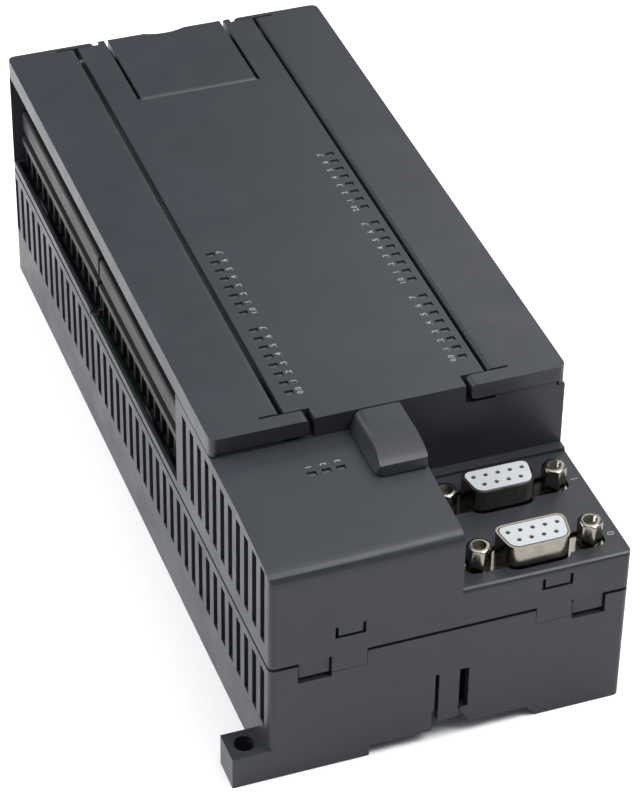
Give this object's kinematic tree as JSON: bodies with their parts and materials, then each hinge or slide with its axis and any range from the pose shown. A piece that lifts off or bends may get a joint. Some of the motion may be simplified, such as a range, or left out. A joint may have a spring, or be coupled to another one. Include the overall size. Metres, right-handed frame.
{
  "type": "programmable logic controller",
  "caption": "Compact rail-mounted logic controller with hinged terminal doors, status light rows, side vents and two nine-way serial ports.",
  "frame": {"origin": "centre of the back, on the plane that rests on the mounting surface", "axes": "+X across the rail from the output side to the input side, +Y along the body away from the serial ports, +Z away from the wall"},
  "size_m": [0.096, 0.196, 0.062],
  "materials": {
    "housing": "fine spark-eroded texture, charcoal grey",
    "terminal_plastic": "satin moulded, dark grey",
    "black_plastic": "satin moulded, black",
    "white_plastic": "satin moulded, white",
    "blue_plastic": "satin moulded, blue",
    "plated_steel": "bright nickel plate",
    "light_guide": "smoked, polished tip, unlit",
    "circuit_board": "green solder mask",
    "core_metal": "dull ferrite and winding tape",
    "capacitor_sleeve": "shrink sleeve, dark blue"
  },
  "bodies": {
    "housing": {"base_housing": "housing", "upper_housing": "housing", "output_terminal_plug_near": "terminal_plastic", "output_terminal_header_near": "black_plastic", "output_terminal_plug_far": "terminal_plastic", "output_terminal_header_far": "black_plastic", "input_terminal_plug_near": "terminal_plastic", "input_terminal_header_near": "black_plastic", "input_terminal_plug_far": "terminal_plastic", "input_terminal_header_far": "black_plastic", "port_1_shell": "plated_steel", "port_1_insulator": "white_plastic", "port_1_jack_screw_left": "plated_steel", "port_1_jack_screw_right": "plated_steel", "port_2_shell": "plated_steel", "port_2_insulator": "white_plastic", "port_2_jack_screw_left": "plated_steel", "port_2_jack_screw_right": "plated_steel", "input_light_guide_1": "light_guide", "input_light_guide_2": "light_guide", "input_light_guide_3": "light_guide", "output_light_guide_1": "light_guide", "output_light_guide_2": "light_guide", "status_light_guide": "light_guide", "power_board": "circuit_board", "io_board": "circuit_board", "logic_board": "circuit_board", "power_transformer": "core_metal", "bulk_capacitor_near": "capacitor_sleeve", "bulk_capacitor_far": "capacitor_sleeve", "power_board_connector": "black_plastic", "logic_board_connector": "black_plastic", "processor_chip": "black_plastic", "backup_capacitor": "capacitor_sleeve", "cartridge_socket": "black_plastic", "expansion_header": "black_plastic", "mode_switch_body": "black_plastic", "trimmer_1_body": "blue_plastic", "trimmer_2_body": "blue_plastic"},
    "output_door": {"output_door": "housing"},
    "input_door": {"input_door": "housing"},
    "access_hatch": {"access_hatch": "housing"},
    "cartridge_cover": {"cartridge_cover": "housing"},
    "rail_clip": {"rail_clip": "black_plastic"},
    "mode_lever": {"mode_switch_lever": "white_plastic"},
    "trimmer_1": {"trimmer_1_rotor": "white_plastic"},
    "trimmer_2": {"trimmer_2_rotor": "white_plastic"}
  },
  "joints": [
    {"name": "output_door_hinge", "type": "hinge", "parent": "housing", "child": "output_door", "pos_m": [-0.0206, 0, 0.0601], "axis": [0, 1, 0], "range_deg": [0, 100]},
    {"name": "input_door_hinge", "type": "hinge", "parent": "housing", "child": "input_door", "pos_m": [0.0206, 0, 0.0601], "axis": [0, -1, 0], "range_deg": [0, 100]},
    {"name": "access_hatch_hinge", "type": "hinge", "parent": "housing", "child": "access_hatch", "pos_m": [0, 0.0706, 0.06075], "axis": [1, 0, 0], "range_deg": [0, 100]},
    {"name": "cartridge_cover_pull", "type": "slide", "parent": "housing", "child": "cartridge_cover", "axis": [0, 0, 1], "range_m": [0, 0.012]},
    {"name": "rail_clip_slide", "type": "slide", "parent": "housing", "child": "rail_clip", "axis": [1, 0, 0], "range_m": [0, 0.004], "stiffness_N_per_m": 500, "springref_m": -0.002},
    {"name": "mode_switch_slide", "type": "slide", "parent": "housing", "child": "mode_lever", "axis": [1, 0, 0], "range_m": [-0.0025, 0.0025]},
    {"name": "trimmer_1_turn", "type": "hinge", "parent": "housing", "child": "trimmer_1", "pos_m": [-0.0105, 0.09, 0.052], "axis": [0, 0, 1], "range_deg": [-135, 135]},
    {"name": "trimmer_2_turn", "type": "hinge", "parent": "housing", "child": "trimmer_2", "pos_m": [-0.003, 0.09, 0.052], "axis": [0, 0, 1], "range_deg": [-135, 135]}
  ]
}
